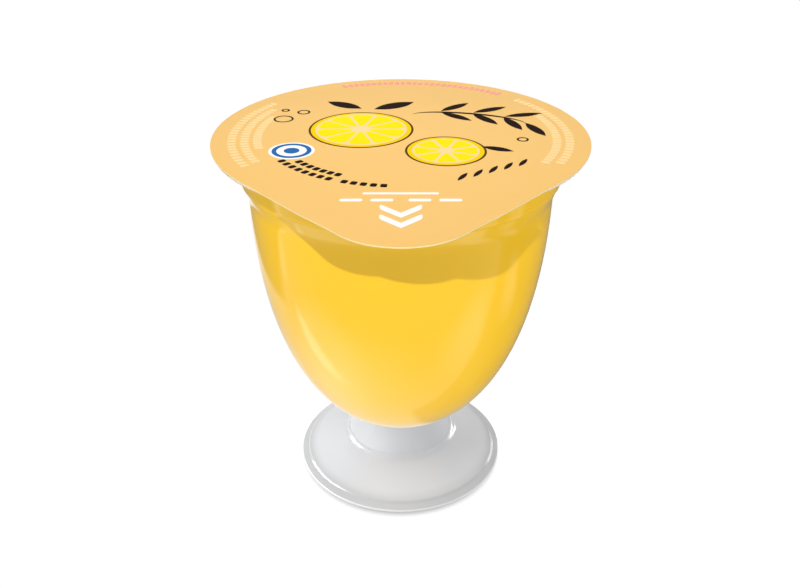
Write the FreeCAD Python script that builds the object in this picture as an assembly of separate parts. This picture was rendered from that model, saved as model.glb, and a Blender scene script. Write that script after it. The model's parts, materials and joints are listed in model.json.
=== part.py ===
"""Sealed dessert cup on a foot: a round-bottomed clear cup, its moulded foot, the jelly in it
and the sealing film with its pull tab.

Millimetres, +Z up. The origin is on the table, on the cup's axis, and the pull tab points along -Y.
Outlines are drawn as (radius, height) points in the XZ plane and turned about the Z axis.
"""

import FreeCAD, Part
import math
import os

# Overall
total_height = 79.2

# Sealing film and its pull tab
film_radius = 37.5
film_thickness = 0.25
tab_reach = 12.5
tab_flank_angle = 49.4

# Flange, the flat ring that the film is sealed to
film_overhang = 0.3
flange_reach = 3.4
flange_thickness = 0.8
flange_rounding = 0.3

# Collar and throat, between the flange and the bowl
cup_wall = 0.8
collar_height = 6.05
collar_taper = 1.35
collar_rounding = 0.5
ledge_width = 0.3
ledge_drop = 0.3
ledge_rounding = 0.1
throat_height = 4.05
throat_taper = 1.05
throat_blend = 0.9

# Bowl, a superellipse turned about the cup's axis
bowl_floor_height = 11.6
equator_rise = 3.62
bowl_side_power = 2.291
bowl_floor_power = 2.311
bowl_spans = 12

# Foot, a thin shell that is open underneath
foot_radius = 23.75
foot_edge_height = 0.4
foot_edge_rounding = 0.2
foot_rim_width = 2.5
shoulder_inset = 1.85
shoulder_height = 1.4
shoulder_rounding = 1.0
foot_wall = 1.1
neck_ring_radius = 12.5
neck_ring_height = 5.8
neck_ring_rounding = 0.5
neck_ring_step = 1.15
neck_flare = 0.15

# Clearances
seat_clearance = 0.05
jelly_clearance = 0.05

# Heights and radii that follow from the sizes above
film_bottom = total_height - film_thickness
flange_bottom = film_bottom - flange_thickness
ledge_top = flange_bottom - collar_height
ledge_bottom = ledge_top - ledge_drop
bowl_top = ledge_bottom - throat_height
equator_height = bowl_top + equator_rise
bowl_depth = equator_height - bowl_floor_height
flange_radius = film_radius - film_overhang
collar_top_radius = flange_radius - flange_reach
collar_foot_radius = collar_top_radius - collar_taper
throat_radius = collar_foot_radius - ledge_width
bowl_radius = throat_radius - throat_taper
neck_waist_radius = neck_ring_radius - neck_ring_step
neck_top_radius = neck_waist_radius + neck_flare


def spot(place):
    """Point in the XZ plane for a (radius, height) pair."""
    return FreeCAD.Vector(place[0], 0, place[1])


def line(start, end):
    """Straight edge between two (radius, height) pairs."""
    return Part.LineSegment(spot(start), spot(end)).toShape()


def arc(start, middle, end):
    """Arc edge through three (radius, height) pairs."""
    return Part.Arc(spot(start), spot(middle), spot(end)).toShape()


def direction(start, end):
    """Unit (radius, height) step from one pair to another."""
    run, rise = end[0] - start[0], end[1] - start[1]
    length = math.hypot(run, rise)
    return (run / length, rise / length)


def moved(place, step, distance):
    """Pair reached from a pair by going a distance along a unit step."""
    return (place[0] + step[0] * distance, place[1] + step[1] * distance)


def corner_arc(place, back, ahead, setback):
    """Start, end and edge of the arc that rounds a corner and touches both its sides at the setback."""
    half = math.acos(back[0] * ahead[0] + back[1] * ahead[1]) / 2
    inward = direction((0, 0), (back[0] + ahead[0], back[1] + ahead[1]))
    start, end = moved(place, back, setback), moved(place, ahead, setback)
    middle = moved(place, inward, setback * (1 - math.sin(half)) / math.cos(half))
    return start, end, arc(start, middle, end)


def rounded_path(corners):
    """Edges through (radius, height, rounding) corners. An arc rounds each corner, within its two sides."""
    edges = []
    last = corners[0][:2]
    for before, corner, after in zip(corners, corners[1:], corners[2:]):
        place, rounding = corner[:2], corner[2]
        back, ahead = direction(place, before[:2]), direction(place, after[:2])
        if rounding == 0:
            edges.append(line(last, place))
            last = place
            continue
        half = math.acos(back[0] * ahead[0] + back[1] * ahead[1]) / 2
        room = 0.45 * min(math.dist(place, before[:2]), math.dist(place, after[:2]))
        start, end, bend = corner_arc(place, back, ahead, min(rounding / math.tan(half), room))
        edges.append(line(last, start))
        edges.append(bend)
        last = end
    edges.append(line(last, corners[-1][:2]))
    return edges


def turned(edges):
    """Solid made by turning a closed outline of edges about the Z axis."""
    outline = Part.Face(Part.Wire(edges))
    solid = outline.revolve(FreeCAD.Vector(0, 0, 0), FreeCAD.Vector(0, 0, 1), 360)
    return solid if solid.Volume > 0 else solid.reversed()


def bowl_angle(depth):
    """Superellipse angle of the bowl's wall at a depth below its equator."""
    return math.asin((depth / bowl_depth) ** (bowl_side_power / 2))


def bowl_point(angle, inset):
    """Place on the bowl's wall, moved inward by the inset, and the unit step down the wall there."""
    radius = bowl_radius * math.cos(angle) ** (2 / bowl_floor_power)
    depth = bowl_depth * math.sin(angle) ** (2 / bowl_side_power)
    outward = bowl_floor_power / bowl_radius * (radius / bowl_radius) ** (bowl_floor_power - 1)
    downward = bowl_side_power / bowl_depth * (depth / bowl_depth) ** (bowl_side_power - 1)
    fall = direction((0, 0), (-downward, -outward))
    return moved((radius, equator_height - depth), (fall[1], -fall[0]), inset), fall


def bowl_height_at(radius):
    """Height of the bowl's outer surface at a radius."""
    share = 1 - (radius / bowl_radius) ** bowl_floor_power
    return equator_height - bowl_depth * share ** (1 / bowl_side_power)


def bowl_curve(first_angle, inset):
    """Edge down the bowl's wall from the first angle to the axis, moved inward by the inset."""
    step = (math.pi / 2 - first_angle) / bowl_spans
    places = [bowl_point(first_angle + step * i, inset)[0] for i in range(bowl_spans)]
    places.append((0, bowl_floor_height + inset))
    fall = bowl_point(first_angle, inset)[1]
    curve = Part.BSplineCurve()
    points = [spot(place) for place in places]
    curve.interpolate(Points=points, InitialTangent=spot(fall), FinalTangent=spot((-1, 0)))
    return curve.toShape()


def corner_between(place_a, step_a, place_b, step_b):
    """Pair where two lines cross, each given by a pair on it and its unit step."""
    cross = step_a[0] * step_b[1] - step_a[1] * step_b[0]
    gap = (place_b[0] - place_a[0], place_b[1] - place_a[1])
    return moved(place_a, step_a, (gap[0] * step_b[1] - gap[1] * step_b[0]) / cross)


def wall_path(top, inset):
    """First place and edges of the cup's wall from a top height to the axis, moved inward by the inset.

    The edges run down the collar, the ledge and the throat, and round a soft bend into the bowl.
    """
    collar_top = (collar_top_radius, flange_bottom)
    collar_foot = (collar_foot_radius, ledge_top)
    throat_top = (throat_radius, ledge_bottom)
    first_angle = bowl_angle(equator_rise)
    outer_bowl_top, fall = bowl_point(first_angle, 0)
    throat_foot = moved(outer_bowl_top, fall, -throat_blend)
    collar_step = direction(collar_top, collar_foot)
    ledge_step = direction(collar_foot, throat_top)
    throat_step = direction(throat_top, throat_foot)
    on_collar = moved(collar_top, (collar_step[1], -collar_step[0]), inset)
    on_ledge = moved(collar_foot, (ledge_step[1], -ledge_step[0]), inset)
    on_throat = moved(throat_top, (throat_step[1], -throat_step[0]), inset)
    start = corner_between(on_collar, collar_step, (0, top), (1, 0))
    upper = corner_between(on_collar, collar_step, on_ledge, ledge_step)
    lower = corner_between(on_ledge, ledge_step, on_throat, throat_step)
    bowl_start = bowl_point(first_angle, inset)[0]
    bend = corner_between(on_throat, throat_step, bowl_start, fall)
    upward = (-throat_step[0], -throat_step[1])
    bend_start, _, bend_arc = corner_arc(bend, upward, fall, math.dist(bend, bowl_start))
    straight = rounded_path([start, (*upper, ledge_rounding), (*lower, ledge_rounding), bend_start])
    return start, straight + [bend_arc, bowl_curve(first_angle, inset)]


def make_cup():
    """Clear cup: flange, collar, ledge, throat and round-bottomed bowl, with one wall thickness."""
    mouth, inside = wall_path(film_bottom, cup_wall)
    under_flange, outside = wall_path(flange_bottom, 0)
    collar_start = outside.pop(0)
    collar_end = (collar_start.Vertexes[-1].X, collar_start.Vertexes[-1].Z)
    flange = rounded_path([
        mouth,
        (flange_radius, film_bottom, 0),
        (flange_radius, flange_bottom, flange_rounding),
        (*under_flange, collar_rounding),
        collar_end,
    ])
    axis = line((0, bowl_floor_height), (0, bowl_floor_height + cup_wall))
    return turned(flange + outside + [axis] + inside[::-1])


def make_jelly():
    """Jelly that fills the cup to the film, a clearance away from the wall and the film."""
    top = film_bottom - jelly_clearance
    inset = cup_wall + jelly_clearance
    rim, side = wall_path(top, inset)
    axis = line((0, bowl_floor_height + inset), (0, top))
    return turned([line((0, top), rim)] + side + [axis])


def make_film():
    """Sealing film: a disc whose edge runs out along two tangents to a rounded pull tab."""
    angle = math.radians(tab_flank_angle)
    sine, cosine = math.sin(angle), math.cos(angle)
    tip_radius = (film_radius / cosine - film_radius - tab_reach) / (1 / cosine - 1)
    tip_centre = (film_radius - tip_radius) / cosine
    leave_x, leave_y = film_radius * sine, -film_radius * cosine
    tip_x, tip_y = tip_radius * sine, -tip_centre - tip_radius * cosine
    right = FreeCAD.Vector(leave_x, leave_y, film_bottom)
    left = FreeCAD.Vector(-leave_x, leave_y, film_bottom)
    tip_right = FreeCAD.Vector(tip_x, tip_y, film_bottom)
    tip_left = FreeCAD.Vector(-tip_x, tip_y, film_bottom)
    back = FreeCAD.Vector(0, film_radius, film_bottom)
    tip = FreeCAD.Vector(0, -film_radius - tab_reach, film_bottom)
    outline = Part.Wire([
        Part.Arc(right, back, left).toShape(),
        Part.LineSegment(left, tip_left).toShape(),
        Part.Arc(tip_left, tip, tip_right).toShape(),
        Part.LineSegment(tip_right, right).toShape(),
    ])
    return Part.Face(outline).extrude(FreeCAD.Vector(0, 0, film_thickness))


def seat_shape():
    """The bowl's outside grown by the seat clearance, which is cut out of the foot's neck."""
    angle = bowl_angle(equator_rise)
    start = bowl_point(angle, -seat_clearance)[0]
    centre = (0, start[1])
    axis = line((0, bowl_floor_height - seat_clearance), centre)
    return turned([line(centre, start), bowl_curve(angle, -seat_clearance), axis])


def make_foot():
    """Foot: a shallow domed shell with a waisted neck, in whose open top the bowl sits."""
    shoulder = (foot_radius - shoulder_inset, shoulder_height)
    neck_foot = (neck_ring_radius, neck_ring_height)
    neck_top = (neck_top_radius, bowl_height_at(neck_top_radius) + foot_wall)
    waist = (neck_waist_radius, (neck_foot[1] + neck_top[1]) / 2)
    bore = neck_waist_radius - foot_wall
    fall = direction(neck_foot, shoulder)
    under_dome = moved(neck_foot, (fall[1], -fall[0]), foot_wall)
    hollow_edge = foot_radius - foot_rim_width
    dome_end = corner_between(under_dome, fall, (hollow_edge, 0), (0, 1))
    neck_start = (neck_ring_radius - neck_ring_rounding, neck_ring_height + neck_ring_rounding)
    bore_start = corner_between(under_dome, fall, (bore, 0), (0, 1))
    outside = rounded_path([
        (hollow_edge, 0),
        (foot_radius, 0, foot_edge_rounding),
        (foot_radius, foot_edge_height, foot_edge_rounding),
        (*shoulder, shoulder_rounding),
        (*neck_foot, 0),
        neck_start,
    ])
    neck = arc(neck_start, waist, neck_top)
    inside = rounded_path([
        (bore, neck_top[1]),
        (*bore_start, neck_ring_rounding),
        (*dome_end, 0),
        (hollow_edge, 0),
    ])
    shell = turned(outside + [neck, line(neck_top, (bore, neck_top[1]))] + inside)
    return shell.cut(seat_shape())


def main():
    """Make every piece and write one STEP file for each."""
    pieces = {
        "cup": make_cup(),
        "foot": make_foot(),
        "jelly": make_jelly(),
        "sealing_film": make_film(),
    }
    os.makedirs("parts", exist_ok=True)
    for name, shape in pieces.items():
        shape.exportStep(f"parts/{name}.step")
        print(f"{name}: solids {len(shape.Solids)}, valid {shape.isValid()}, volume {shape.Volume:.1f}")


main()
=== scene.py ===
"""Sealed jelly cup on its foot: clear cup, milky foot, jelly and printed film, in a small studio.

Lengths are in metres, in the frame's own axes: +Z is up, the pull tab points along -Y and the
foot stands on z = 0. The cup is the frame's own node in a new finish, and the jelly is grown from its
node. The foot and the film are modelled here, and so is every ink of the film's print.
"""

import json
import logging
import math
from collections.abc import Callable
from dataclasses import dataclass, field
from enum import Enum

import bmesh
import bpy
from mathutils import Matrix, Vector

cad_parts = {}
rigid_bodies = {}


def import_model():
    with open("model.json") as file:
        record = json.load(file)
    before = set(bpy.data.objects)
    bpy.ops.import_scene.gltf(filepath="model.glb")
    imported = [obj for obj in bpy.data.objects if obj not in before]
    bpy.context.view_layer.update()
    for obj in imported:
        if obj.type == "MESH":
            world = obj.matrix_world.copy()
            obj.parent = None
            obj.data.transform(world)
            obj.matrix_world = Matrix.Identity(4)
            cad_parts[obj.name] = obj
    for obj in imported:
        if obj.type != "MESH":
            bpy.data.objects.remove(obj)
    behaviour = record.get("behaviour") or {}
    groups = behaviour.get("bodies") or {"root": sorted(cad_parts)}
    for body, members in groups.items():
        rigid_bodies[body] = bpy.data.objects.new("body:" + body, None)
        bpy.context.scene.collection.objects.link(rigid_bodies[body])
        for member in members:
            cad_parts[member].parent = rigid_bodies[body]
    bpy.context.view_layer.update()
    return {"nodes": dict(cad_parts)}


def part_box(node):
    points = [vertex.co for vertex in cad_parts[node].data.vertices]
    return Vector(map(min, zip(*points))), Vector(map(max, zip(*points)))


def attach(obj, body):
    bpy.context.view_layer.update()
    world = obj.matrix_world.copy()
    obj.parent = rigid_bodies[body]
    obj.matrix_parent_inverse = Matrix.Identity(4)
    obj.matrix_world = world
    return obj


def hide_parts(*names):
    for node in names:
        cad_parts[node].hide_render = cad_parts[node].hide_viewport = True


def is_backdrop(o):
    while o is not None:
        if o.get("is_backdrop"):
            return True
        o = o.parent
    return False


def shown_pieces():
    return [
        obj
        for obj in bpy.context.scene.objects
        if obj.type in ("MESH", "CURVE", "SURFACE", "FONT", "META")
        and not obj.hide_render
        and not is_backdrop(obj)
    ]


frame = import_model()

MM = 0.001
BODY = "root"
MIX_INPUTS = (0, 6, 7)
MIX_RESULT = 2
SQUARE_RADIUS = math.sqrt(0.5)
TRIANGLE_TALL = 1.5
TRIANGLE_WIDE = math.sqrt(3.0)

Colour = tuple[float, float, float]
Numbers = tuple[float, ...]
Place = tuple[float, float]
Material = bpy.types.Material
Piece = bpy.types.Object
Socket = bpy.types.NodeSocket

log = logging.getLogger("jelly_cup")


class Slot(Enum):
    """Names of the record's material slots; settle takes one for each new piece but does not use it."""

    FOOT = "frosted_foot"
    JELLY = "jelly"
    FILM = "printed_film"


class Wiring:
    """A new node material under construction.

    Args:
        name: The material's name.
    """

    def __init__(self, name: str) -> None:
        self.material = bpy.data.materials.new(name)
        self.material.use_nodes = True
        self.tree = self.material.node_tree
        self.tree.nodes.clear()

    def node(self, kind: str, inputs: dict | None = None, **settings: object) -> bpy.types.Node:
        """Adds a node.

        Args:
            kind: The node's type, such as ShaderNodeMath.
            inputs: Values or output sockets for its inputs, by name or number.
            settings: Properties of the node.

        Returns:
            The node.
        """
        made = self.tree.nodes.new(kind)
        for key, value in settings.items():
            setattr(made, key, value)
        for key, value in (inputs or {}).items():
            if isinstance(value, Socket):
                self.tree.links.new(value, made.inputs[key])
            else:
                made.inputs[key].default_value = value
        return made

    def maths(self, operation: str, *values: object) -> Socket:
        """Returns the output of a Math node on numbers or sockets."""
        return self.node("ShaderNodeMath", dict(enumerate(values)), operation=operation).outputs[0]

    def place(self) -> Socket:
        """Returns the Object coordinates."""
        return self.node("ShaderNodeTexCoord").outputs["Object"]

    def vector(self, operation: str, first: Socket, second: Numbers) -> Socket:
        """Returns the output of a Vector Math node on a socket and three numbers."""
        return self.node("ShaderNodeVectorMath", {0: first, 1: second}, operation=operation).outputs[0]

    def length(self, vector: Socket) -> Socket:
        """Returns a vector's length."""
        return self.node("ShaderNodeVectorMath", {0: vector}, operation="LENGTH").outputs["Value"]

    def radius(self) -> Socket:
        """Returns the distance from the cup's axis."""
        return self.length(self.vector("MULTIPLY", self.place(), (1.0, 1.0, 0.0)))

    def step(self, value: Socket, start: float, end: float, low: float = 0.0, high: float = 1.0) -> Socket:
        """Returns a smooth change from low at the start to high at the end."""
        values = {"Value": value, "From Min": start, "From Max": end, "To Min": low, "To Max": high}
        return self.node("ShaderNodeMapRange", values, interpolation_type="SMOOTHSTEP").outputs[0]

    def noise(self, scale: float, detail: float = 3.0) -> Socket:
        """Returns noise on the Object coordinates, with about scale blobs to the metre."""
        values = {"Vector": self.place(), "Scale": scale, "Detail": detail}
        return self.node("ShaderNodeTexNoise", values).outputs[0]

    def spread(self, value: Socket, low: float, high: float) -> Socket:
        """Returns a value of 0 to 1 spread over low to high."""
        values = {"Value": value, "To Min": low, "To Max": high}
        return self.node("ShaderNodeMapRange", values).outputs[0]

    def blend(self, share: object, first: object, second: object) -> Socket:
        """Returns the blend of two colours, numbers of three or sockets, by a share."""
        colours = [c if isinstance(c, Socket) else (*c, 1.0) for c in (first, second)]
        inputs = dict(zip(MIX_INPUTS, (share, *colours)))
        return self.node("ShaderNodeMix", inputs, data_type="RGBA").outputs[MIX_RESULT]

    def bump(self, height: Socket, depth: float, strength: float) -> Socket:
        """Returns the normal of a relief of this depth in metres."""
        values = {"Height": height, "Distance": depth, "Strength": strength}
        return self.node("ShaderNodeBump", values).outputs[0]

    def finish(self, shader: Socket) -> Material:
        """Sends a shader to the output and returns the material."""
        self.node("ShaderNodeOutputMaterial", {"Surface": shader})
        return self.material

    def plastic(self, inputs: dict) -> Material:
        """Returns the material with a Principled shader of these inputs."""
        return self.finish(self.node("ShaderNodeBsdfPrincipled", inputs).outputs[0])


@dataclass(frozen=True)
class ClearPlastic:
    """Clear moulded plastic that lamps and scattered light pass straight through."""

    name: str = "clear_plastic"
    refraction: float = 1.40
    tint: Colour = (1.0, 0.995, 0.985)

    def build(self) -> Material:
        """Returns the material."""
        w = Wiring(self.name)
        gloss = w.spread(w.noise(60.0), 0.012, 0.05)
        glass = w.node("ShaderNodeBsdfPrincipled", {
            "Base Color": (*self.tint, 1.0),
            "Roughness": gloss,
            "IOR": self.refraction,
            "Transmission Weight": 1.0,
            "Normal": w.bump(w.noise(90.0, 1.0), 0.02 * MM, 0.4),
        })
        clear = w.node("ShaderNodeBsdfTransparent")
        path = w.node("ShaderNodeLightPath")
        passes = w.maths("MAXIMUM", path.outputs["Is Shadow Ray"], path.outputs["Is Diffuse Ray"])
        both = w.node("ShaderNodeMixShader", {0: passes, 1: glass.outputs[0], 2: clear.outputs[0]})
        return w.finish(both.outputs[0])


@dataclass(frozen=True)
class MilkyPlastic:
    """Milky, softly glossy moulded plastic, with painted shade greying the foot's rim and a painted
    highlight along its outer edge.
    """

    name: str = "milky_plastic"
    light: Colour = (0.76, 0.77, 0.795)
    dark: Colour = (0.73, 0.74, 0.765)
    # painted shade: the grey that the rim band takes where it would turn from the light
    painted_shade_rim: Colour = (0.61, 0.615, 0.625)
    # painted highlight: the pale line along the foot's outer edge
    edge: Colour = (0.97, 0.97, 0.97)
    painted_shade_radii: tuple[float, float] = (19.5 * MM, 22.8 * MM)
    painted_highlight_radii: tuple[float, float] = (23.6 * MM, 23.68 * MM)

    def build(self) -> Material:
        """Returns the material."""
        w = Wiring(self.name)
        radius = w.radius()
        body = w.blend(w.noise(45.0), self.light, self.dark)
        # painted shade: the rim band greyed from the dome outwards
        painted_shade_rim = w.blend(w.step(radius, *self.painted_shade_radii), body, self.painted_shade_rim)
        return w.plastic({
            # painted highlight: the outer edge turned pale
            "Base Color": w.blend(w.step(radius, *self.painted_highlight_radii), painted_shade_rim, self.edge),
            "Roughness": w.spread(w.noise(160.0), 0.14, 0.22),
            "IOR": 1.5,
            "Normal": w.bump(w.noise(240.0, 2.0), 0.02 * MM, 0.3),
        })


@dataclass(frozen=True)
class JellyFlesh:
    """Yellow jelly against the cup's wall: no gloss of its own, a little cloudier in places."""

    name: str = "jelly_flesh"
    clear: Colour = (0.95, 0.562, 0.010)
    cloudy: Colour = (0.96, 0.577, 0.018)
    thrown: Colour = (0.80, 0.75, 0.67)

    def build(self) -> Material:
        """Returns the material."""
        w = Wiring(self.name)
        seen = w.blend(w.noise(55.0, 4.0), self.clear, self.cloudy)
        scattered = w.node("ShaderNodeLightPath").outputs["Is Diffuse Ray"]
        return w.plastic({
            "Base Color": w.blend(scattered, seen, self.thrown),
            "Roughness": w.spread(w.noise(120.0), 0.35, 0.5),
            "Specular IOR Level": 0.0,
        })


@dataclass(frozen=True)
class PrintedTop:
    """The film's printed face: an even ground colour with the faint knurl of the seal round its rim."""

    name: str = "film_print_ground"
    ground: Colour = (0.90, 0.545, 0.150)
    shade: Colour = (0.89, 0.535, 0.146)
    seal_inner: float = 34.0 * MM
    seal_outer: float = 37.0 * MM

    def build(self) -> Material:
        """Returns the material."""
        w = Wiring(self.name)
        reach = w.radius()
        inside = w.maths("LESS_THAN", reach, self.seal_outer)
        sealed = w.maths("MULTIPLY", w.maths("GREATER_THAN", reach, self.seal_inner), inside)
        knurl = w.node("ShaderNodeTexChecker", {"Vector": w.place(), "Scale": 1100.0}).outputs["Fac"]
        relief = w.maths("MULTIPLY", knurl, sealed)
        return w.plastic({
            "Base Color": w.blend(w.noise(300.0), self.ground, self.shade),
            "Roughness": w.spread(w.noise(200.0), 0.42, 0.5),
            "IOR": 1.4,
            "Normal": w.bump(relief, 0.01 * MM, 0.25),
        })


@dataclass(frozen=True)
class Backing:
    """Unprinted plastic of the film, on its cut edge and its underside."""

    name: str
    colour: Colour
    roughness: float = 0.35

    def build(self) -> Material:
        """Returns the material."""
        w = Wiring(self.name)
        deeper = tuple(0.96 * c for c in self.colour)
        return w.plastic({
            "Base Color": w.blend(w.noise(400.0), self.colour, deeper),
            "Roughness": w.spread(w.noise(150.0), self.roughness, self.roughness + 0.1),
        })


@dataclass(frozen=True)
class InkFinish:
    """Printing ink, a thin satin layer with the faint mottle of print."""

    name: str
    colour: Colour
    mottle: float = 0.93

    def build(self) -> Material:
        """Returns the material."""
        w = Wiring(self.name)
        thin = tuple(self.mottle * c for c in self.colour)
        return w.plastic({
            "Base Color": w.blend(w.noise(900.0, 2.0), self.colour, thin),
            "Roughness": w.spread(w.noise(300.0), 0.5, 0.6),
            "Specular IOR Level": 0.02,
        })


def clear_bench() -> None:
    """Leaves edit mode and selects nothing."""
    active = bpy.context.view_layer.objects.active
    if active is not None and active.mode != "OBJECT":
        bpy.ops.object.mode_set(mode="OBJECT")
    bpy.ops.object.select_all(action="DESELECT")


def pick(piece: Piece) -> None:
    """Makes a piece the only selected one, and the active one."""
    clear_bench()
    piece.select_set(True)
    bpy.context.view_layer.objects.active = piece


def added(name: str) -> Piece:
    """Names the piece just added, applies its place and returns it."""
    piece = bpy.context.object
    piece.name = name
    bpy.ops.object.transform_apply(location=True, rotation=True, scale=True)
    return piece


def select_all() -> None:
    """In edit mode, selects everything."""
    bpy.ops.mesh.select_all(action="SELECT")


def keep_selected(piece: Piece, test: Callable[[Vector], bool]) -> None:
    """In edit mode, keeps selected only those selected vertices whose place passes a test.

    Args:
        piece: The piece in edit mode.
        test: Takes a vertex's place.
    """
    mesh = bmesh.from_edit_mesh(piece.data)
    for vertex in mesh.verts:
        vertex.select_set(vertex.select and test(vertex.co))
    mesh.select_flush_mode()
    bmesh.update_edit_mesh(piece.data)


def select_faces(piece: Piece, test: Callable[[bmesh.types.BMFace], bool]) -> None:
    """In edit mode, selects only the faces that pass a test.

    Args:
        piece: The piece in edit mode.
        test: Takes a face.
    """
    mesh = bmesh.from_edit_mesh(piece.data)
    for face in mesh.faces:
        face.select_set(test(face))
    bmesh.update_edit_mesh(piece.data)


def apply_modifiers(piece: Piece) -> None:
    """Applies a piece's modifiers in order."""
    pick(piece)
    for name in [m.name for m in piece.modifiers]:
        bpy.ops.object.modifier_apply(modifier=name)


def settle(piece: Piece, slot: Slot, *replaced: str) -> Piece:
    """Puts a finished piece on the part's body.

    Args:
        piece: The piece.
        slot: Not used.
        replaced: CAD nodes that it stands for.

    Returns:
        The piece.
    """
    clear_bench()
    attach(piece, BODY)
    if replaced:
        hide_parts(*replaced)
    log.info("%s: %d faces", piece.name, len(piece.data.polygons))
    return piece


def dress(piece: Piece, material: Material) -> None:
    """Gives a piece this material in place of any that it has."""
    piece.data.materials.clear()
    piece.data.materials.append(material)


def hide_from(piece: Piece, *rays: str) -> None:
    """Hides a piece from these kinds of rays."""
    for ray in rays:
        setattr(piece, f"visible_{ray}", False)


def beside(corner: Place, size: float, across: float, up: float) -> Place:
    """Returns the place that lies this many sizes across and up from a corner."""
    return corner[0] + across * size, corner[1] + up * size


@dataclass
class Cup:
    """The clear cup, which keeps the frame's own shape."""

    finish: ClearPlastic = field(default_factory=ClearPlastic)

    def build(self) -> None:
        """Dresses the cup's node."""
        node = frame["nodes"]["cup"]
        node.material_slots[0].material = self.finish.build()
        log.info("cup dressed")


class Lathe:
    """A turned piece: rings drawn out of each other along a profile of (radius, height) places.

    Args:
        name: The piece's name.
    """

    CORNERS = 192
    HEIGHT_SLACK = 0.002 * MM
    RADIUS_SLACK = 0.02 * MM
    WELD = 0.001 * MM
    SMOOTH_ANGLE = math.radians(40.0)

    def __init__(self, name: str) -> None:
        self.name = name
        self.piece: Piece | None = None
        self.last = (0.0, 0.0)

    def start(self, radius: float, height: float) -> None:
        """Starts the profile with one open ring."""
        clear_bench()
        bpy.ops.mesh.primitive_circle_add(vertices=self.CORNERS, radius=radius, location=(0.0, 0.0, height))
        self.piece = added(self.name)
        bpy.ops.object.mode_set(mode="EDIT")
        select_all()
        self.last = (radius, height)

    def draw(self, *places: Place) -> None:
        """Draws the last ring on through more places of the profile."""
        for radius, height in places:
            rise = (0.0, 0.0, height - self.last[1])
            bpy.ops.mesh.extrude_region_move(TRANSFORM_OT_translate={"value": rise})
            wide = radius / self.last[0]
            bpy.ops.transform.resize(value=(wide, wide, 1.0), center_override=(0.0, 0.0, height))
            self.last = (radius, height)

    def round(self, radius: float, height: float, offset: float, segments: int) -> None:
        """Rounds the ring at a place of the profile."""
        select_all()
        keep_selected(self.piece, lambda place: (
            abs(place.z - height) < self.HEIGHT_SLACK
            and abs(math.hypot(place.x, place.y) - radius) < self.RADIUS_SLACK
        ))
        bpy.ops.mesh.bevel(offset=offset, segments=segments, affect="EDGES", clamp_overlap=True)

    def close(self, finish: Material) -> Piece:
        """Joins the last ring to the first and returns the finished piece."""
        select_all()
        bpy.ops.mesh.remove_doubles(threshold=self.WELD)
        bpy.ops.mesh.normals_make_consistent(inside=False)
        bpy.ops.object.mode_set(mode="OBJECT")
        bpy.ops.object.shade_smooth_by_angle(angle=self.SMOOTH_ANGLE)
        dress(self.piece, finish)
        return self.piece


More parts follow.
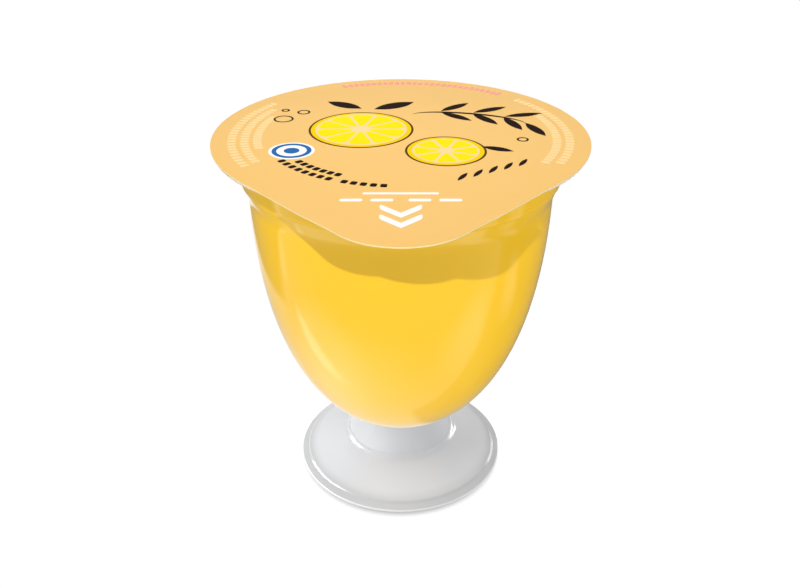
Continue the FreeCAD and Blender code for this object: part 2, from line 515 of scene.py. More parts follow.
@dataclass
class Foot:
    """The milky foot: a thin domed shell with a bead round its shoulder and one round its neck.

    Places about a bead are counted in its sizes, across and up from the corner that it covers.
    """

    rim_width: float = 2.5 * MM
    edge_height: float = 0.45 * MM
    shoulder_inset: float = 1.85 * MM
    shoulder_height: float = 1.4 * MM
    bead: float = 0.4 * MM
    bead_round: float = 0.3 * MM
    bead_crest: Place = (0.35, 0.75)
    bead_start: Place = (1.0, -0.5)
    bead_reach: float = 1.5
    bead_lift: float = 0.3
    neck_ring_radius: float = 12.5 * MM
    neck_ring_height: float = 5.8 * MM
    neck_bead: float = 0.55 * MM
    neck_bead_round: float = 0.35 * MM
    neck_bead_crest: Place = (-0.05, 0.95)
    neck_bead_end: Place = (-0.8, 1.4)
    neck_bead_reach: float = 0.9
    bead_segments: int = 7
    lip_round: float = 0.12 * MM
    lip_segments: int = 3
    edge_round: float = 0.2 * MM
    edge_segments: int = 4
    waist_radius: float = 11.25 * MM
    neck_top_radius: float = 11.05 * MM
    bore: float = 10.25 * MM
    wall: float = 1.1 * MM
    seat_drop: float = 0.5 * MM
    neck_rings: int = 14
    hold: float = 0.08
    finish: MilkyPlastic = field(default_factory=MilkyPlastic)

    def held(self, start: Place, end: Place) -> list[Place]:
        """Returns a straight run of the profile with rings near its ends that hold it flat."""
        shares = (0.0, self.hold, 2.0 * self.hold, 0.5, 1.0 - 2.0 * self.hold, 1.0 - self.hold, 1.0)
        return [tuple(a + (b - a) * share for a, b in zip(start, end)) for share in shares]

    def neck(self, start: Place, top: float) -> list[Place]:
        """Returns the neck's profile, a shallow waist from its bead to the bowl.

        Args:
            start: Where the neck leaves its bead.
            top: Height of its top.

        Returns:
            Its places from bottom to top.
        """
        hollow = (start[0] + self.neck_top_radius) / 2.0 - self.waist_radius
        places = []
        for number in range(1, self.neck_rings + 1):
            share = number / self.neck_rings
            straight = start[0] + (self.neck_top_radius - start[0]) * share
            height = start[1] + (top - start[1]) * share
            places.append((straight - 4.0 * hollow * share * (1.0 - share), height))
        return places

    def build(self) -> Piece:
        """Returns the foot."""
        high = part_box("foot")[1]
        radius, top = high.x, high.z
        shoulder = (radius - self.shoulder_inset, self.shoulder_height)
        ring = (self.neck_ring_radius, self.neck_ring_height)
        slope = (ring[1] - shoulder[1]) / (shoulder[0] - ring[0])
        drop = self.wall * math.hypot(1.0, slope)
        inner_rim = radius - self.rim_width
        under = [(place, ring[1] + (ring[0] - place) * slope - drop) for place in (self.bore, inner_rim)]
        crest = beside(shoulder, self.bead, *self.bead_crest)
        bead_start = beside(shoulder, self.bead, *self.bead_start)
        bead_end = beside(shoulder, self.bead, -self.bead_reach, self.bead_reach * slope + self.bead_lift)
        neck_bead_start = beside(ring, self.neck_bead, self.neck_bead_reach, -self.neck_bead_reach * slope)
        neck_crest = beside(ring, self.neck_bead, *self.neck_bead_crest)
        neck_bead_end = beside(ring, self.neck_bead, *self.neck_bead_end)
        lathe = Lathe("foot_shell")
        lathe.start(inner_rim, 0.0)
        lathe.draw(
            (radius, 0.0),
            *self.held((radius, self.edge_height), bead_start),
            crest,
            *self.held(bead_end, neck_bead_start),
            neck_crest,
            neck_bead_end,
            *self.neck(neck_bead_end, top),
            (self.bore, top - self.seat_drop),
            *under,
            (inner_rim, 0.0),
        )
        lathe.round(radius, 0.0, self.lip_round, self.lip_segments)
        lathe.round(radius, self.edge_height, self.edge_round, self.edge_segments)
        lathe.round(*crest, self.bead_round, self.bead_segments)
        lathe.round(*neck_crest, self.neck_bead_round, self.bead_segments)
        piece = lathe.close(self.finish.build())
        hide_from(piece, "glossy")
        return settle(piece, Slot.FOOT, "foot")


@dataclass
class Jelly:
    """The jelly, grown from its node until it reaches just into the cup's wall and the film."""

    growth: float = 0.1 * MM
    merge_distance: float = 0.001 * MM
    smooth_angle: float = math.radians(30.0)
    finish: JellyFlesh = field(default_factory=JellyFlesh)

    def build(self) -> Piece:
        """Returns the jelly."""
        piece = bpy.data.objects.new("jelly_fill", frame["nodes"]["jelly"].data.copy())
        bpy.context.scene.collection.objects.link(piece)
        pick(piece)
        bpy.ops.mesh.customdata_custom_splitnormals_clear()
        bpy.ops.object.mode_set(mode="EDIT")
        select_all()
        bpy.ops.mesh.remove_doubles(threshold=self.merge_distance)
        bpy.ops.transform.shrink_fatten(value=self.growth)
        bpy.ops.object.mode_set(mode="OBJECT")
        bpy.ops.object.shade_smooth_by_angle(angle=self.smooth_angle)
        dress(piece, self.finish.build())
        return settle(piece, Slot.JELLY, "jelly")


@dataclass
class SealingFilm:
    """The sealing film: a disc drawn out to a rounded pull tab, with eased edges."""

    tab_angle: float = math.radians(49.4)
    sink: float = 0.02 * MM
    edge_easing: float = 0.05 * MM
    flank_length: float = 15.0 * MM
    flank_cuts: int = 40
    shoulder_reach: float = 46.3 * MM
    shoulder_width: float = 0.952
    shoulder_fade: float = 12.0 * MM
    shoulder_slack: float = 0.5 * MM
    disc_corners: int = 288
    tip_corners: int = 144
    flat_angle: float = math.radians(0.2)
    sharp_angle: float = math.radians(60.0)
    smooth_angle: float = math.radians(25.0)
    level_share: float = 0.9
    top: PrintedTop = field(default_factory=PrintedTop)
    edge: Backing = Backing("film_cut_edge", (0.97, 0.78, 0.40))
    underside: Backing = Backing("film_underside", (0.86, 0.85, 0.82), 0.25)

    def __post_init__(self) -> None:
        low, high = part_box("sealing_film")
        self.radius = high.y
        self.reach = -low.y - self.radius
        self.bottom = low.z - self.sink
        self.top_height = high.z

    def tip(self) -> Place:
        """Returns the radius of the tab's round end and how far its centre is from the axis."""
        slant = 1.0 / math.cos(self.tab_angle)
        radius = (self.radius * slant - self.radius - self.reach) / (slant - 1.0)
        return radius, (self.radius - radius) * slant

    def draw_in(self, piece: Piece) -> None:
        """In edit mode, draws the tab's shoulders in a little, so that its flanks run hollow to its tip."""
        mesh = bmesh.from_edit_mesh(piece.data)
        for edge in mesh.edges:
            edge.select_set(edge.calc_length() > self.flank_length)
        bmesh.update_edit_mesh(piece.data)
        bpy.ops.mesh.subdivide(number_cuts=self.flank_cuts)
        select_all()
        keep_selected(piece, lambda place: abs(place.y + self.shoulder_reach) < self.shoulder_slack)
        bpy.ops.transform.resize(
            value=(self.shoulder_width, 1.0, 1.0),
            center_override=(0.0, 0.0, self.top_height),
            use_proportional_edit=True,
            proportional_edit_falloff="SMOOTH",
            proportional_size=self.shoulder_fade,
        )

    def build(self) -> Piece:
        """Returns the film."""
        tip_radius, tip_centre = self.tip()
        depth = self.top_height - self.bottom
        middle = (self.top_height + self.bottom) / 2.0
        clear_bench()
        bpy.ops.mesh.primitive_cylinder_add(
            vertices=self.disc_corners, radius=self.radius, depth=depth, location=(0.0, 0.0, middle)
        )
        piece = added("film")
        bpy.ops.object.mode_set(mode="EDIT")
        bpy.ops.mesh.primitive_cylinder_add(
            vertices=self.tip_corners, radius=tip_radius, depth=depth, location=(0.0, -tip_centre, middle)
        )
        select_all()
        bpy.ops.mesh.convex_hull()
        select_all()
        bpy.ops.mesh.dissolve_limited(angle_limit=self.flat_angle)
        self.draw_in(piece)
        bpy.ops.mesh.select_all(action="DESELECT")
        bpy.ops.mesh.edges_select_sharp(sharpness=self.sharp_angle)
        bpy.ops.mesh.bevel(offset=self.edge_easing, segments=2, affect="EDGES")
        for number, test in enumerate((
            lambda face: face.normal.z > self.level_share,
            lambda face: abs(face.normal.z) <= self.level_share,
            lambda face: face.normal.z < -self.level_share,
        )):
            select_faces(piece, test)
            while len(piece.material_slots) <= number:
                bpy.ops.object.material_slot_add()
            piece.active_material_index = number
            bpy.ops.object.material_slot_assign()
        bpy.ops.object.mode_set(mode="OBJECT")
        bpy.ops.object.shade_smooth_by_angle(angle=self.smooth_angle)
        for slot, finish in zip(piece.material_slots, (self.top, self.edge, self.underside)):
            slot.material = finish.build()
        return settle(piece, Slot.FILM, "sealing_film")


class Ink(Enum):
    """Inks of the print: name and colour."""

    DARK = ("dark", (0.018, 0.009, 0.008))
    BROWN = ("brown", (0.10, 0.045, 0.008))
    YELLOW = ("yellow", (0.98, 0.76, 0.003))
    GOLD = ("gold", (0.96, 0.60, 0.003))
    CREAM = ("cream", (0.93, 0.68, 0.33))
    PINK = ("pink", (0.86, 0.33, 0.30))
    WHITE = ("white", (0.96, 0.96, 0.94))
    BLUE = ("blue", (0.02, 0.14, 0.40))


@dataclass
class InkSheet:
    """One ink of the print: flat shapes drawn on the film, then given their thickness.

    The shapes are drawn in edit mode in millimetres from the cup's axis, with +Y away from the tab.
    """

    ink: Ink
    film_top: float
    level: int
    name: str
    layer: float = 0.015 * MM
    rooting: float = 0.5
    slack: float = 1e-7
    spine: float = 0.05 * MM
    easing: float = 0.3

    def __post_init__(self) -> None:
        mesh = bpy.data.meshes.new(f"print_{self.name}")
        self.piece = bpy.data.objects.new(mesh.name, mesh)
        bpy.context.scene.collection.objects.link(self.piece)
        self.height = self.film_top + self.level * self.layer
        self.open()

    def open(self) -> None:
        """Opens the sheet for drawing."""
        pick(self.piece)
        bpy.ops.object.mode_set(mode="EDIT")

    def draw(self, shape: Callable[["InkSheet"], None]) -> None:
        """Opens the sheet and draws a shape on it."""
        self.open()
        shape(self)

    def spot(self, x: float, y: float) -> tuple[float, float, float]:
        """Returns a place on this ink's level, from millimetres."""
        return (x * MM, y * MM, self.height)

    def disc(self, x: float, y: float, radius: float, corners: int = 64) -> None:
        """Adds a disc, all of it selected."""
        bpy.ops.mesh.primitive_circle_add(
            vertices=corners, radius=radius * MM, fill_type="NGON", location=self.spot(x, y)
        )

    def ring(self, x: float, y: float, radius: float, width: float) -> None:
        """Adds a ring with this outer radius."""
        self.disc(x, y, radius, 96)
        bpy.ops.mesh.inset(thickness=width * MM)
        bpy.ops.mesh.delete(type="FACE")

    def turn(self, x: float, y: float, degrees: float) -> None:
        """Turns what is selected about a place, counterclockwise seen from above."""
        bpy.ops.transform.rotate(
            value=-math.radians(degrees), orient_axis="Z", center_override=self.spot(x, y)
        )

    def size(self, x: float, y: float, wide: float, tall: float) -> None:
        """Scales what is selected about a place."""
        bpy.ops.transform.resize(value=(wide, tall, 1.0), center_override=self.spot(x, y))

    def repeat(self, x: float, y: float, copies: int, step: float) -> None:
        """Copies what is selected round a place, each a step in degrees past the last."""
        bpy.ops.mesh.spin(
            steps=copies, dupli=True, angle=-math.radians(step) * copies,
            center=self.spot(x, y), axis=(0.0, 0.0, 1.0),
        )

    def block(self, x: float, y: float, wide: float, tall: float) -> None:
        """Adds a block about its middle, all of it selected."""
        self.disc(x, y, SQUARE_RADIUS, 4)
        self.turn(x, y, 45.0)
        self.size(x, y, wide, tall)

    def ease(self, offset: float, segments: int = 3) -> None:
        """Rounds the selected corners, starting this far from each."""
        bpy.ops.mesh.bevel(offset=offset * MM, affect="VERTICES", segments=segments)

    def bow(self, x: float, y: float, length: float, rise: float, weight: float, degrees: float) -> None:
        """Adds a bowed brush stroke that thins towards both ends.

        Args:
            x: Middle of the stroke's chord.
            y: Middle of the stroke's chord.
            length: Length of the chord.
            rise: How far the stroke's outer side bows out.
            weight: Its greatest thickness.
            degrees: Turn of the chord.
        """
        self.disc(x, y, 1.0, 72)
        self.size(x, y, length / 2.0, rise)
        keep_selected(self.piece, lambda place: place.y < y * MM - self.slack)
        self.size(x, y, 1.0, -(rise - weight) / rise)
        bpy.ops.mesh.select_linked()
        self.turn(x, y, degrees)

    def leaf(self, x: float, y: float, length: float, width: float, degrees: float) -> None:
        """Adds a pointed leaf about its middle."""
        belly = 0.72
        self.disc(x, y, 1.0, 4)
        self.size(x, y, length / 2.0, width / 2.0)
        keep_selected(self.piece, lambda place: abs(place.x - x * MM) < self.spine)
        self.ease(belly * math.hypot(length, width) / 2.0, 8)
        bpy.ops.mesh.select_linked()
        self.turn(x, y, degrees)

    def sprig(self, sprig: "Sprig") -> None:
        """Adds a bowed stem with pairs of leaves along it and one at its end."""
        self.bow(sprig.x, sprig.y, sprig.length, sprig.rise, sprig.stem, sprig.degrees)
        long = sprig.leaf_length * sprig.length / sprig.pairs
        turned = math.radians(sprig.degrees)
        spots = [
            (sprig.span * (2.0 * (number + 0.5) / sprig.pairs - 1.0), side)
            for number in range(sprig.pairs) for side in (sprig.spread, -sprig.spread)
        ]
        for share, side in (*spots, (sprig.end, 0.0)):
            arch = math.sqrt(1.0 - share * share)
            lean = math.degrees(math.atan2(-sprig.rise * share, arch * sprig.length / 2.0)) + side
            reach = sprig.leaf_reach * long
            across = share * sprig.length / 2.0 + reach * math.cos(math.radians(lean))
            along = sprig.rise * arch + reach * math.sin(math.radians(lean))
            self.leaf(
                sprig.x + across * math.cos(turned) - along * math.sin(turned),
                sprig.y + across * math.sin(turned) + along * math.cos(turned),
                long, sprig.leaf_width * long, sprig.degrees + lean,
            )

    def wedges(self, x: float, y: float, inner: float, outer: float, count: int, gap: float) -> None:
        """Adds the rounded wedges of a cut fruit.

        Args:
            x: Centre of the fruit.
            y: Centre of the fruit.
            inner: Radius where the wedges begin.
            outer: Radius where they end.
            count: How many wedges go round.
            gap: Width left between two wedges.
        """
        rounding = 0.22
        wide = 2.0 * outer * math.tan(math.pi / count) - gap
        length = outer - inner
        self.disc(x, y - 1.0, 1.0, 3)
        self.size(x, y, wide / TRIANGLE_WIDE, length / TRIANGLE_TALL)
        self.turn(x, y, 180.0)
        bpy.ops.transform.translate(value=(0.0, inner * MM, 0.0))
        self.ease(rounding * length, 5)
        self.repeat(x, y, count - 1, 360.0 / count)

    def dashes(self, *rows: "Row") -> None:
        """Adds rows of dashes along arcs about the cup's axis."""
        easing = 0.25
        for row in rows:
            self.block(row.radius, 0.0, row.wide, row.long)
            self.ease(easing * min(row.wide, row.long), 2)
            self.turn(0.0, 0.0, row.first)
            self.repeat(0.0, 0.0, row.copies, row.step)

    def bar(self, x: float, y: float, long: float, wide: float) -> None:
        """Adds a bar with eased corners."""
        self.block(x, y, long, wide)
        self.ease(self.easing * wide)

    def chevron(self, x: float, y: float, wide: float, tall: float, weight: float) -> None:
        """Adds a chevron that points to the tab's tip.

        Args:
            x: Middle of the chevron.
            y: Height of its arms' ends.
            wide: Its width.
            tall: How far its tip drops.
            weight: How tall an arm is.
        """
        self.block(x, y + weight / 2.0, wide, weight)
        bpy.ops.mesh.bisect(plane_co=self.spot(x, y), plane_no=(1.0, 0.0, 0.0))
        bpy.ops.mesh.select_linked()
        keep_selected(self.piece, lambda place: abs(place.x - x * MM) < self.spine)
        bpy.ops.transform.translate(value=(0.0, -tall * MM, 0.0))
        bpy.ops.mesh.select_linked()
        keep_selected(self.piece, lambda place: abs(place.x - x * MM) > self.spine)
        self.ease(self.easing * weight)

    def finish(self) -> Piece:
        """Gives the shapes their thickness and finish and returns the piece."""
        self.open()
        select_all()
        bpy.ops.mesh.normals_make_consistent(inside=False)
        bpy.ops.object.mode_set(mode="OBJECT")
        for polygon in self.piece.data.polygons:
            if polygon.normal.z < 0.0:
                polygon.flip()
        depth = self.piece.modifiers.new("thickness", "SOLIDIFY")
        depth.thickness = self.layer * (self.level + self.rooting)
        depth.offset = -1.0
        apply_modifiers(self.piece)
        name, colour = self.ink.value
        dress(self.piece, InkFinish(f"ink_{name}", colour).build())
        return settle(self.piece, Slot.FILM)


@dataclass(frozen=True)
class FruitSlice:
    """A cut fruit: outline, rind, pith and wedges, in millimetres from the cup's axis."""

    x: float
    y: float
    radius: float
    wedges: int
    outline: float = 0.45
    rind: float = 0.9
    pith: float = 0.45
    core: float = 0.9
    gap: float = 0.55


@dataclass(frozen=True)
class Sprig:
    """A bowed stem and its leaves, in millimetres from the cup's axis and in degrees.

    The span and the end count from the chord's middle, 1 at its end. A leaf's length is a share of
    a pair's part of the stem, and its width and reach are shares of its length.
    """

    x: float
    y: float
    length: float
    rise: float
    pairs: int
    degrees: float
    stem: float = 0.9
    span: float = 0.85
    end: float = 0.97
    spread: float = 42.0
    leaf_length: float = 1.05
    leaf_width: float = 0.46
    leaf_reach: float = 0.55


@dataclass(frozen=True)
class Row:
    """A row of dashes along an arc about the cup's axis, in millimetres and degrees.

    It has a first dash, at an angle from +X, and copies of it a step apart.
    """

    radius: float
    first: float
    copies: int
    step: float = 2.6
    long: float = 1.05
    wide: float = 1.7


@dataclass
class LidPrint:
    """The film's print: cut fruit, a sprig and leaves, rows of dashes and a pull mark.

    Leaves are (x, y, length, width, degrees), bubbles (x, y, radius) and bars (x, y, long, wide), as
    InkSheet takes them. The small leaves stand in a row, each a step from the last.
    """

    film_top: float
    slices: tuple[FruitSlice, ...] = (
        FruitSlice(-8.0, 2.5, 10.6, 10),
        FruitSlice(8.6, -9.6, 7.8, 8),
    )
    sprig: Sprig = Sprig(14.0, 8.6, 24.0, 4.2, 3, -14.0)
    small_leaf: Numbers = (4.2, 1.7, 62.0)
    small_leaves: int = 5
    small_leaf_start: Place = (11.0, -22.4)
    small_leaf_step: Place = (2.9, 1.7)
    leaves: tuple[Numbers, ...] = (
        (-1.4, 17.6, 10.0, 6.4, 30.0),
        (-12.2, 18.0, 9.0, 5.8, 148.0),
        (18.6, -8.6, 6.4, 3.6, -24.0),
    )
    bubbles: tuple[Numbers, ...] = (
        (-24.4, 8.8, 2.1),
        (-20.6, 13.2, 1.4),
        (-24.6, 14.4, 0.9),
        (24.0, -3.4, 1.2),
    )
    bubble_width: float = 0.42
    dark_rows: tuple[Row, ...] = (
        Row(26.6, 214.0, 7, 3.9, 1.2, 1.5),
        Row(26.6, 248.0, 4, 3.9, 1.2, 1.5),
        Row(24.2, 219.0, 6, 3.9, 1.2, 1.5),
    )
    cream_rows: tuple[Row, ...] = (
        Row(33.4, 146.0, 25),
        Row(30.9, 152.0, 22),
        Row(28.4, 160.0, 14),
        Row(33.4, -28.0, 26),
        Row(30.9, -30.0, 20),
    )
    pink_rows: tuple[Row, ...] = (Row(34.0, 50.0, 27, 2.3, 0.95, 1.9),)
    mark: Place = (-20.8, -9.6)
    mark_radius: float = 4.4
    mark_ring: Place = (3.8, 0.9)
    mark_dot: float = 1.5
    chevron: Numbers = (7.0, 3.4, 1.9)
    chevron_heights: Numbers = (-36.2, -40.0)
    bars: tuple[Numbers, ...] = (
        *((x, -32.6, 3.8, 1.1) for x in (-3.2, -8.4, 3.2, 8.4)),
        (0.0, -29.8, 13.0, 0.8),
    )

    def sheet(self, ink: Ink, level: int = 1, name: str = "") -> InkSheet:
        """Returns a new sheet of an ink."""
        return InkSheet(ink, self.film_top, level, name or ink.value[0])

    def fruit(self) -> None:
        """Prints the cut fruit in four inks, one over another."""
        outline = self.sheet(Ink.BROWN)
        rind = self.sheet(Ink.GOLD, 2)
        pith = self.sheet(Ink.CREAM, 3, "pith")
        flesh = self.sheet(Ink.YELLOW, 4)
        for fruit in self.slices:
            x, y, reach = fruit.x, fruit.y, fruit.radius
            for ink, border in ((outline, fruit.outline), (rind, fruit.rind), (pith, fruit.pith)):
                ink.draw(lambda sheet: sheet.disc(x, y, reach, 128))
                reach -= border
            flesh.draw(lambda sheet: sheet.wedges(x, y, fruit.core, reach, fruit.wedges, fruit.gap))
        for sheet in (outline, rind, pith, flesh):
            sheet.finish()

    def dark(self) -> None:
        """Prints the bold sprig, the leaves, the bubbles and the small rows in the darkest ink."""
        dark = self.sheet(Ink.DARK)
        dark.sprig(self.sprig)
        for number in range(self.small_leaves):
            dark.leaf(*beside(self.small_leaf_start, number, *self.small_leaf_step), *self.small_leaf)
        for leaf in self.leaves:
            dark.leaf(*leaf)
        for bubble in self.bubbles:
            dark.ring(*bubble, self.bubble_width)
        dark.dashes(*self.dark_rows)
        dark.finish()

    def rows(self) -> None:
        """Prints the pale and the pink rows round the rim."""
        for ink, rows in ((Ink.CREAM, self.cream_rows), (Ink.PINK, self.pink_rows)):
            sheet = self.sheet(ink)
            sheet.dashes(*rows)
            sheet.finish()

    def marks(self) -> None:
        """Prints the round mark and the pull mark."""
        white = self.sheet(Ink.WHITE)
        white.disc(*self.mark, self.mark_radius)
        for height in self.chevron_heights:
            white.chevron(0.0, height, *self.chevron)
        for bar in self.bars:
            white.bar(*bar)
        white.finish()
        blue = self.sheet(Ink.BLUE, 2)
        blue.ring(*self.mark, *self.mark_ring)
        blue.disc(*self.mark, self.mark_dot, 48)
        blue.finish()

    def build(self) -> None:
        """Builds every ink."""
        self.fruit()
        self.dark()
        self.rows()
        self.marks()


class Subject(Enum):
    """What a lamp shines on, by the starts of its pieces' names."""

    BOWL = ("cup", "jelly")
    LID = ("film", "print")
    FOOT = ("foot",)
    BODY = ("cup", "jelly", "film", "print")


@dataclass(frozen=True)
class Softbox:
    """A soft lamp that faces the cup.

    The direction is in degrees from the front, -Y, positive towards +X, and up from the floor.
    """

    name: str
    subject: Subject
    azimuth: float
    elevation: float
    power: float
    wide: float = 0.25
    tall: float = 0.35
    distance: float = 0.5
    mirrored: bool = False

    def hang(self, target: Vector) -> None:
        """Hangs the lamp towards a target, to be seen only in reflections or never in them."""
        data = bpy.data.lights.new(self.name, "AREA")
        data.shape = "RECTANGLE"
        data.size, data.size_y = self.wide, self.tall
        data.energy = self.power
        lamp = bpy.data.objects.new(self.name, data)
        towards = heading(self.azimuth, self.elevation)
        lamp.location = target + towards * self.distance
        lamp.rotation_euler = towards.to_track_quat("Z", "Y").to_euler()
        lamp.visible_camera = False
        lamp.visible_glossy = self.mirrored
        lamp.visible_diffuse = not self.mirrored
        lamp.visible_transmission = False
        bpy.context.scene.collection.objects.link(lamp)
        aim(lamp, self.subject)


@dataclass(frozen=True)
class Glow:
    """A brighter or darker patch of the reflector, in millimetres from the cup's axis.

    It is round or square-cornered, and its level fades out over a share of its half sizes.
    """

    middle: Place
    half: Place
    level: float
    fade: float
    turn: float = 0.0
    square: bool = False

    def wire(self, w: Wiring) -> Socket:
        """Returns the patch's level at each place."""
        local = w.node("ShaderNodeMapping", {
            "Vector": w.place(),
            "Location": (self.middle[0] * MM, self.middle[1] * MM, 0.0),
            "Rotation": (0.0, 0.0, math.radians(self.turn)),
            "Scale": (self.half[0] * MM, self.half[1] * MM, 1.0),
        }, vector_type="TEXTURE").outputs[0]
        parts = w.node("ShaderNodeSeparateXYZ", {0: local}).outputs
        across, along = (w.maths("ABSOLUTE", parts[axis]) for axis in ("X", "Y"))
        if self.square:
            reach = w.maths("MAXIMUM", across, along)
        else:
            squares = [w.maths("POWER", share, 2.0) for share in (across, along)]
            reach = w.maths("SQRT", w.maths("ADD", *squares))
        return w.step(reach, 1.0 - self.fade, 1.0, self.level, 0.0)


@dataclass(frozen=True)
class Reflector:
    """A lit sheet on the floor that only reflections show, with brighter and darker patches."""

    reach: float = 0.5
    lift: float = 0.1 * MM
    level: float = 1.0
    glows: tuple[Glow, ...] = (
        Glow((-50.0, -28.0), (46.0, 38.0), 0.8, 0.7),
        Glow((-20.0, -38.0), (50.0, 44.0), 0.8, 0.9),
        Glow((105.0, -10.0), (42.0, 20.0), 0.7, 0.8),
        Glow((-55.0, 50.0), (42.0, 50.0), -0.3, 0.9),
        Glow((-57.0, -18.5), (36.0, 7.0), 1.3, 0.6, -15.5),
        Glow((60.0, -48.0), (52.0, 24.0), 0.9, 0.9, -10.0),
        Glow((169.0, 70.6), (150.0, 120.0), -0.5, 0.03, -9.0, True),
        Glow((169.0, 70.6), (150.0, 120.0), -0.28, 0.25, -9.0, True),
        Glow((-130.0, 4.0), (36.0, 9.0), 0.6, 0.6, -8.0),
        Glow((-140.0, 100.0), (60.0, 100.0), -0.7, 0.2, 0.0, True),
    )

    def lay(self) -> None:
        """Lays the sheet."""
        clear_bench()
        bpy.ops.mesh.primitive_plane_add(size=self.reach, location=(0.0, 0.0, self.lift))
        sheet = added("reflector")
        w = Wiring("reflector_glow")
        total = self.level
        for glow in self.glows:
            total = w.maths("ADD", total, glow.wire(w))
        emission = w.node("ShaderNodeEmission", {"Strength": w.maths("MAXIMUM", total, 0.0)})
        dress(sheet, w.finish(emission.outputs[0]))
        hide_from(sheet, "camera", "diffuse", "transmission", "shadow", "volume_scatter")
        sheet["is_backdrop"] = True


@dataclass(frozen=True)
class Flag:
    """A dark flag just under the pull tab that widens the shadow it throws on the bowl."""

    shift: float = 0.6 * MM
    back: Place = (24.2 * MM, -30.0 * MM)
    front: Place = (13.6 * MM, -47.6 * MM)
    corner: float = 6.0 * MM
    corner_segments: int = 8
    height: float = 78.5 * MM
    cloth: Colour = (0.02, 0.02, 0.02)

    def hang(self) -> None:
        """Hangs the flag, which only shadows show."""
        middle = (self.shift, (self.back[1] + self.front[1]) / 2.0, self.height)
        clear_bench()
        bpy.ops.mesh.primitive_plane_add(size=1.0, location=middle)
        flag = added("flag")
        bpy.ops.object.mode_set(mode="EDIT")
        select_all()
        depth = self.back[1] - self.front[1]
        bpy.ops.transform.resize(value=(2.0 * self.back[0], depth, 1.0), center_override=middle)
        keep_selected(flag, lambda place: place.y < middle[1])
        bpy.ops.transform.resize(value=(self.front[0] / self.back[0], 1.0, 1.0), center_override=middle)
        bpy.ops.mesh.bevel(offset=self.corner, affect="VERTICES", segments=self.corner_segments)
        bpy.ops.object.mode_set(mode="OBJECT")
        w = Wiring("flag_cloth")
        cloth = w.node("ShaderNodeBsdfDiffuse", {"Color": (*self.cloth, 1.0)})
        dress(flag, w.finish(cloth.outputs[0]))
        hide_from(flag, "camera", "diffuse", "glossy", "transmission", "volume_scatter")
        flag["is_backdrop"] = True


def aim(lamp: Piece, subject: Subject) -> None:
    """Flags a lamp off all but its subject."""
    lit = bpy.data.collections.new(f"{lamp.name}_lit")
    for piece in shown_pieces():
        if piece.name.startswith(subject.value):
            lit.objects.link(piece)
    lamp.light_linking.receiver_collection = lit


def heading(azimuth: float, elevation: float) -> Vector:
    """Returns the unit step from the cup towards a lamp, from degrees off the front and up."""
    side, up = math.radians(azimuth), math.radians(elevation)
    return Vector((math.sin(side) * math.cos(up), -math.cos(side) * math.cos(up), math.sin(up)))


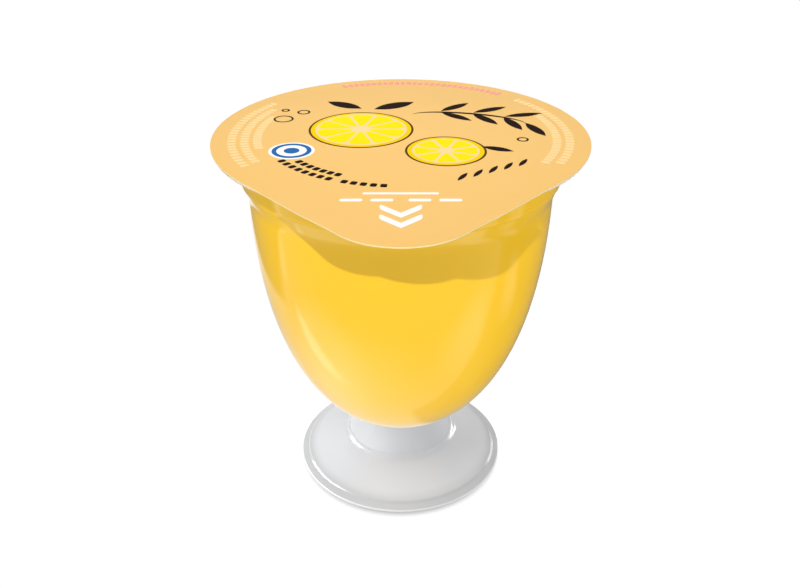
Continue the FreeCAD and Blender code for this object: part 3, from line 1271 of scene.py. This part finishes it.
@dataclass
class Studio:
    """Pale floor, soft lamps, reflector, flag and the camera."""

    lens: float = 39.74
    pitch: float = math.radians(59.96)
    camera_place: tuple[float, float, float] = (-0.14 * MM, -168.9 * MM, 139.8 * MM)
    clip_start: float = 0.01
    room: float = 0.36
    floor_size: float = 4.0
    floor_height: float = -0.02 * MM
    floor_glow: float = 0.90
    floor_paint: float = 0.3
    shadow_shift: float = 1.5 * MM
    shadow_radii: tuple[float, float] = (21.8 * MM, 24.2 * MM)
    shadow_level: float = 0.40
    key_azimuth: float = -9.0
    key_elevation: float = 40.5
    key_strength: float = 1.72
    key_angle: float = math.radians(1.0)
    middle: float = 40.0 * MM
    softboxes: tuple[Softbox, ...] = (
        Softbox("right", Subject.BOWL, 95.0, 5.0, 0.75),
        Softbox("left", Subject.BOWL, -95.0, 5.0, 0.25),
        Softbox("back", Subject.BODY, 180.0, 30.0, 1.0, 0.5, 0.3),
        Softbox("lid_top", Subject.LID, 180.0, 70.0, 0.85, 0.4, 0.4),
        Softbox("foot_left", Subject.FOOT, -100.0, 8.0, 0.6),
        Softbox("foot_front", Subject.FOOT, -50.0, 52.0, 1.5),
        Softbox("foot_right", Subject.FOOT, 110.0, 30.0, 0.7),
        Softbox("foot_back", Subject.FOOT, 180.0, 25.0, 0.6),
        Softbox("foot_gloss_left", Subject.FOOT, -88.0, 8.0, 4.0, 0.5, 0.14, mirrored=True),
        Softbox("foot_gloss_right", Subject.FOOT, 125.0, 4.0, 1.0, 0.24, 0.14, mirrored=True),
    )
    reflector: Reflector = Reflector()
    flag: Flag = Flag()

    def floor(self) -> None:
        """Lays the floor, pale paper lit from below, with the foot's soft shadow falling forward."""
        clear_bench()
        bpy.ops.mesh.primitive_plane_add(size=self.floor_size, location=(0.0, 0.0, self.floor_height))
        ground = bpy.context.object
        ground.name = "floor"
        w = Wiring("floor_paper")
        reach = w.length(w.vector("ADD", w.place(), (0.0, self.shadow_shift, 0.0)))
        light = w.step(reach, *self.shadow_radii, low=self.shadow_level)
        matt = w.node("ShaderNodeBsdfDiffuse", {"Color": (*(self.floor_paint,) * 3, 1.0)})
        glow = w.node("ShaderNodeEmission", {"Strength": w.maths("MULTIPLY", light, self.floor_glow)})
        both = w.node("ShaderNodeAddShader", {0: matt.outputs[0], 1: glow.outputs[0]})
        dress(ground, w.finish(both.outputs[0]))
        ground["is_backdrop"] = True

    def world(self) -> None:
        """Lights the room dimly from all round, before a white backdrop."""
        world = bpy.data.worlds.new("room")
        world.use_nodes = True
        tree = world.node_tree
        seen, light = tree.nodes["Background"], tree.nodes.new("ShaderNodeBackground")
        for back, strength in ((seen, 1.0), (light, self.room)):
            back.inputs["Color"].default_value = (1.0, 1.0, 1.0, 1.0)
            back.inputs["Strength"].default_value = strength
        path = tree.nodes.new("ShaderNodeLightPath")
        mixed = tree.nodes.new("ShaderNodeMixShader")
        for number, source in enumerate((path.outputs["Is Camera Ray"], light.outputs[0], seen.outputs[0])):
            tree.links.new(source, mixed.inputs[number])
        tree.links.new(mixed.outputs[0], tree.nodes["World Output"].inputs["Surface"])
        bpy.context.scene.world = world

    def key(self) -> None:
        """Hangs the small key lamp, flagged off the foot and the floor."""
        data = bpy.data.lights.new("key", "SUN")
        data.energy = self.key_strength
        data.angle = self.key_angle
        lamp = bpy.data.objects.new("key", data)
        towards = heading(self.key_azimuth, self.key_elevation)
        lamp.rotation_euler = towards.to_track_quat("Z", "Y").to_euler()
        lamp.visible_glossy = False
        bpy.context.scene.collection.objects.link(lamp)
        aim(lamp, Subject.BODY)

    def camera(self) -> None:
        """Places the camera."""
        data = bpy.data.cameras.new("camera")
        data.lens = self.lens
        data.clip_start = self.clip_start
        camera = bpy.data.objects.new("camera", data)
        camera.location = self.camera_place
        camera.rotation_euler = (self.pitch, 0.0, 0.0)
        bpy.context.scene.collection.objects.link(camera)
        bpy.context.scene.camera = camera

    def build(self) -> None:
        """Sets up the studio."""
        self.floor()
        self.world()
        self.key()
        for softbox in self.softboxes:
            softbox.hang(Vector((0.0, 0.0, self.middle)))
        self.reflector.lay()
        self.flag.hang()
        self.camera()
        bpy.context.scene.view_settings.view_transform = "Standard"


def main() -> None:
    """Builds the part and the studio."""
    logging.basicConfig(level=logging.INFO, format="%(name)s %(message)s")
    Cup().build()
    Foot().build()
    Jelly().build()
    film = SealingFilm()
    film.build()
    LidPrint(film.top_height).build()
    Studio().build()


if __name__ == "__main__":
    main()
